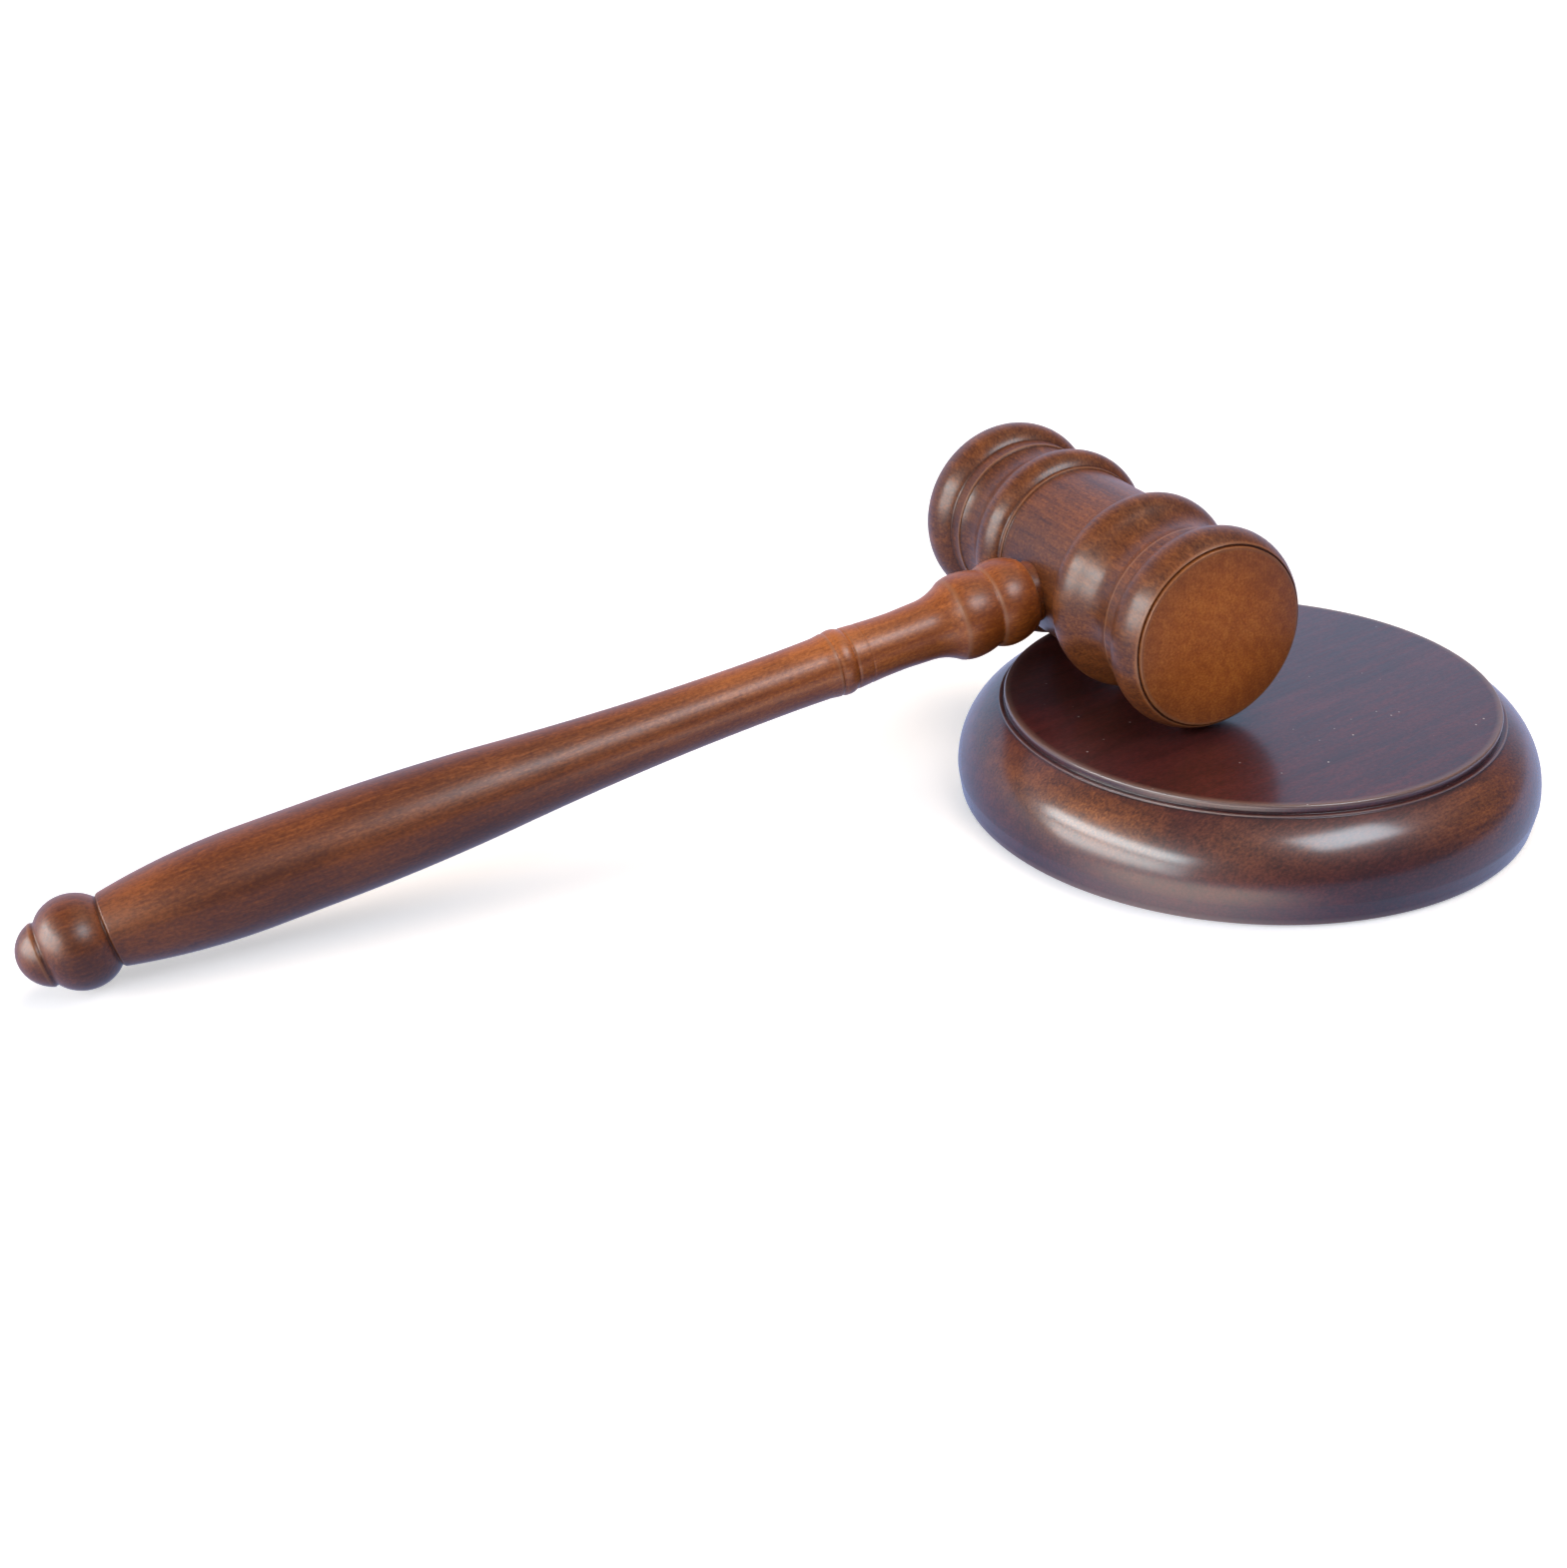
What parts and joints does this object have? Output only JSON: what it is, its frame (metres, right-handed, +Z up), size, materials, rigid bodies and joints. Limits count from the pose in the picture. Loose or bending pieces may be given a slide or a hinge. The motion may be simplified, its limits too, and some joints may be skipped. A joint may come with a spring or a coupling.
{
  "type": "gavel and sound block",
  "caption": "Turned wooden gavel with beaded head and swelling handle, its head lying across a round stepped sound block on a felt base.",
  "frame": {"origin": "centre of the felt pad's underside, on the surface that the block stands on", "axes": "+Z up through the block's centre; Y along the gavel head's axis; the handle runs towards -X and down to the table"},
  "size_m": [0.2603, 0.1184, 0.0537],
  "materials": {
    "block_wood": "dark mahogany stain under satin lacquer",
    "head_wood": "red-brown stain under satin lacquer",
    "handle_wood": "warm brown stain under satin lacquer",
    "felt": "pressed wool felt"
  },
  "bodies": {
    "block": {"sound_block": "block_wood", "felt_pad": "felt"},
    "gavel": {"gavel_head": "head_wood", "gavel_handle": "handle_wood"}
  },
  "joints": [
    {"name": "gavel_lift", "type": "slide", "parent": "block", "child": "gavel", "axis": [0, 0, 1], "range_m": [0, 0.08]}
  ]
}
